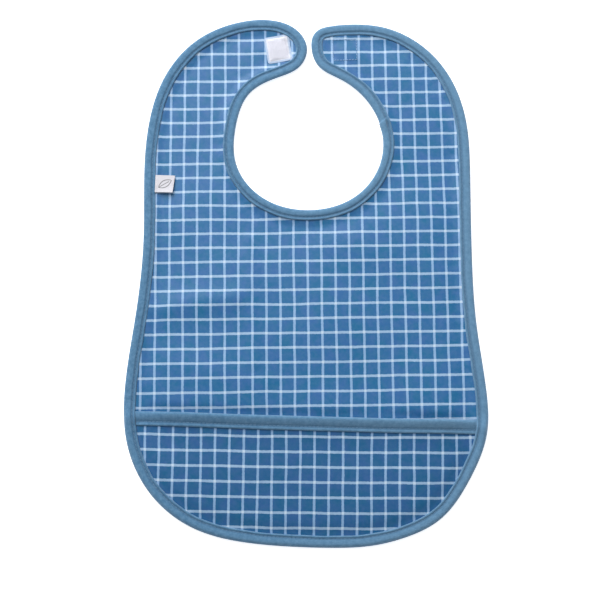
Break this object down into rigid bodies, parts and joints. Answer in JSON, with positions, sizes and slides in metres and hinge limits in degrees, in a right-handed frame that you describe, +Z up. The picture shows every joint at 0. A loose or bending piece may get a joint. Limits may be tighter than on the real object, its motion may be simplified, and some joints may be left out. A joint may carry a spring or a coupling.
{
  "type": "baby bib",
  "caption": "Baby bib of coated printed cotton with a tape-bound edge, hook-and-loop neck straps and a crumb-catcher pocket across the bottom.",
  "frame": {"origin": "on the surface it lies on, under the middle of the bib's outline", "axes": "+X across the bib, to the right seen from above with the straps away; +Y from the pocket to the straps; +Z up, out of the printed face"},
  "size_m": [0.2517, 0.3755, 0.0041],
  "materials": {
    "printed_coated_cotton": "satin coating over a blue cotton print with a fine white grid",
    "lining_cotton": "matt brushed cotton jersey",
    "binding_tape": "matt cotton jersey tape",
    "thread": "spun polyester sewing thread",
    "hook_and_loop": "white woven nylon with hooks or loops",
    "label_tape": "white woven tape"
  },
  "bodies": {
    "chest": {"lining_chest": "lining_cotton", "front_panel_chest": "printed_coated_cotton", "binding_chest_neck": "binding_tape", "needle_thread_chest_neck": "thread", "bobbin_thread_chest_neck": "thread", "binding_chest_outer": "binding_tape", "needle_thread_chest_outer": "thread", "bobbin_thread_chest_outer": "thread"},
    "shoulder_right": {"lining_shoulder_right": "lining_cotton", "front_panel_shoulder_right": "printed_coated_cotton", "binding_shoulder_right_outer": "binding_tape", "needle_thread_shoulder_right_outer": "thread", "bobbin_thread_shoulder_right_outer": "thread", "binding_shoulder_right_neck": "binding_tape", "needle_thread_shoulder_right_neck": "thread", "bobbin_thread_shoulder_right_neck": "thread"},
    "tab_right": {"lining_tab_right": "lining_cotton", "front_panel_tab_right": "printed_coated_cotton", "binding_tab_right": "binding_tape", "needle_thread_tab_right": "thread", "bobbin_thread_tab_right": "thread", "loop_patch": "hook_and_loop", "needle_thread_loop_patch": "thread", "bobbin_thread_loop_patch": "thread"},
    "shoulder_left": {"lining_shoulder_left": "lining_cotton", "front_panel_shoulder_left": "printed_coated_cotton", "binding_shoulder_left_neck": "binding_tape", "needle_thread_shoulder_left_neck": "thread", "bobbin_thread_shoulder_left_neck": "thread", "binding_shoulder_left_outer": "binding_tape", "needle_thread_shoulder_left_outer": "thread", "bobbin_thread_shoulder_left_outer": "thread", "side_label": "label_tape"},
    "tab_left": {"lining_tab_left": "lining_cotton", "front_panel_tab_left": "printed_coated_cotton", "binding_tab_left": "binding_tape", "needle_thread_tab_left": "thread", "bobbin_thread_tab_left": "thread", "hook_patch": "hook_and_loop", "needle_thread_hook_patch": "thread", "bobbin_thread_hook_patch": "thread"},
    "pocket": {"pocket_panel": "printed_coated_cotton", "pocket_rim_tape": "binding_tape", "needle_thread_pocket_rim": "thread", "bobbin_thread_pocket_rim": "thread"}
  },
  "joints": [
    {"name": "shoulder_right_fold", "type": "hinge", "parent": "chest", "child": "shoulder_right", "pos_m": [0.06294, 0.04413, 0.0037], "axis": [0.7431, -0.6691, 0], "range_deg": [0, 48.8]},
    {"name": "tab_right_fold", "type": "hinge", "parent": "shoulder_right", "child": "tab_right", "pos_m": [0.07748, 0.13104, 0.0037], "axis": [0.9205, 0.3907, 0], "range_deg": [0, 46.2]},
    {"name": "shoulder_left_fold", "type": "hinge", "parent": "chest", "child": "shoulder_left", "pos_m": [-0.05989, 0.0452, 0.0037], "axis": [0.7547, 0.6561, 0], "range_deg": [0, 45.6]},
    {"name": "tab_left_fold", "type": "hinge", "parent": "shoulder_left", "child": "tab_left", "pos_m": [-0.07232, 0.13365, 0.0037], "axis": [0.9063, -0.4226, 0], "range_deg": [0, 43]},
    {"name": "pocket_gape", "type": "hinge", "parent": "chest", "child": "pocket", "pos_m": [0, -0.17951, 0.00305], "axis": [1, 0, 0], "range_deg": [0, 13]}
  ],
  "couplings": [
    {"joint": "tab_right_fold", "follows": "shoulder_right_fold", "ratio": 0.945},
    {"joint": "tab_left_fold", "follows": "shoulder_left_fold", "ratio": 0.941}
  ]
}
